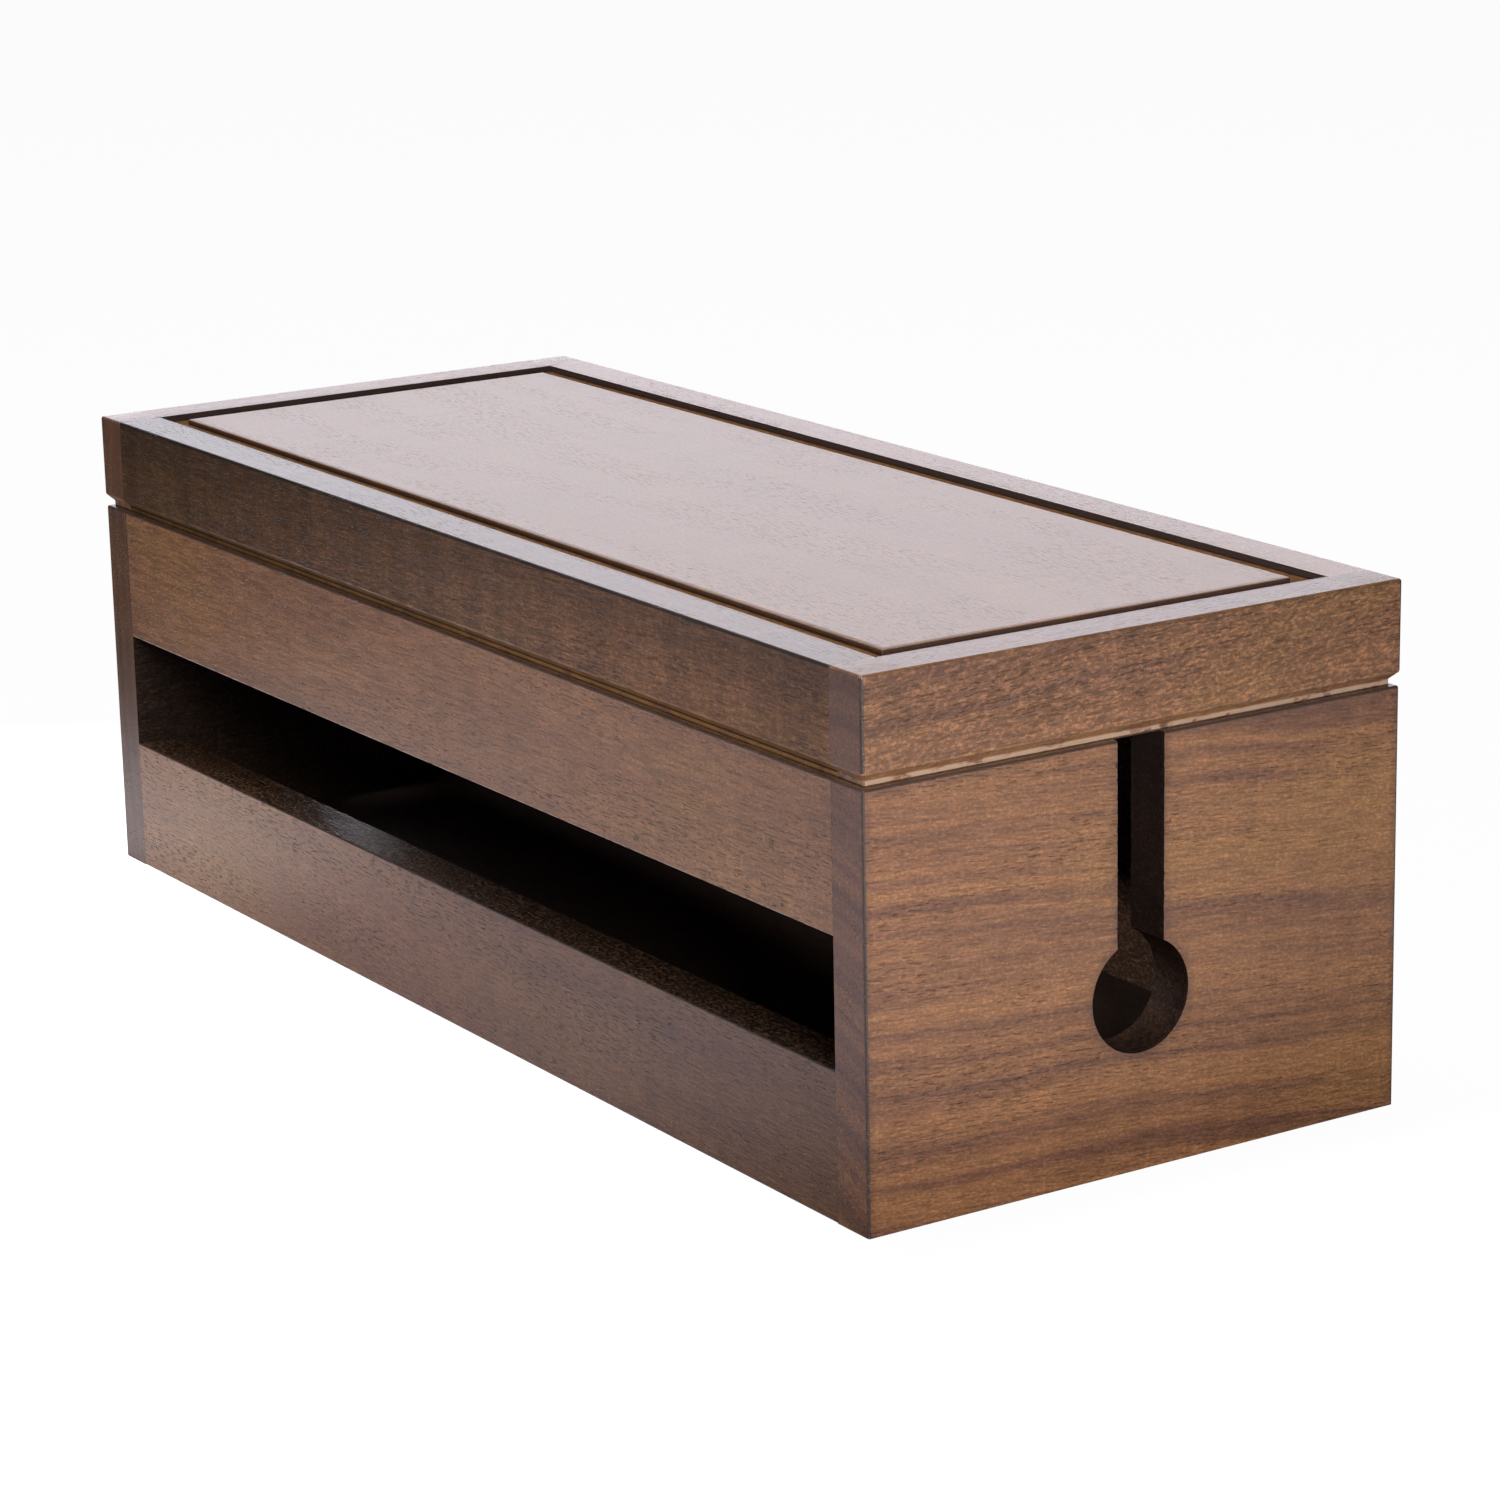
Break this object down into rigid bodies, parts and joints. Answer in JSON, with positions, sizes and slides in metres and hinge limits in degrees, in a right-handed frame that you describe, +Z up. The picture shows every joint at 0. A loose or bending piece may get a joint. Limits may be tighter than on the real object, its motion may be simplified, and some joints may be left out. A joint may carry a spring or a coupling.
{
  "type": "cable management box",
  "caption": "Long wooden box that hides a power strip: an open slot along the front, a keyhole at each end and a framed lid that lifts off.",
  "frame": {"origin": "middle of the base, on the surface that the box stands on", "axes": "+X along the box to the right, +Y from the slotted front face to the back, +Z up"},
  "size_m": [0.4006, 0.1606, 0.136],
  "materials": {
    "body_wood": "satin walnut-stained solid wood",
    "lid_wood": "satin walnut-stained solid wood",
    "panel_wood": "satin walnut-stained panel",
    "floor_wood": "dark stained thin board",
    "batten_wood": "stained wood strip",
    "dowel_wood": "plain beech dowel"
  },
  "bodies": {
    "body": {"left_end_board": "body_wood", "right_end_board": "body_wood", "lower_front_rail": "body_wood", "upper_front_rail": "body_wood", "back_board": "body_wood", "floor_panel": "floor_wood", "left_body_dowels": "dowel_wood", "right_body_dowels": "dowel_wood"},
    "lid": {"left_lid_end": "lid_wood", "right_lid_end": "lid_wood", "front_lid_rail": "lid_wood", "back_lid_rail": "lid_wood", "lid_panel": "panel_wood", "front_locating_batten": "batten_wood", "back_locating_batten": "batten_wood", "left_lid_dowels": "dowel_wood", "right_lid_dowels": "dowel_wood"}
  },
  "joints": [
    {"name": "lid_lift", "type": "slide", "parent": "body", "child": "lid", "axis": [0, 0, 1], "range_m": [0, 0.12]}
  ]
}
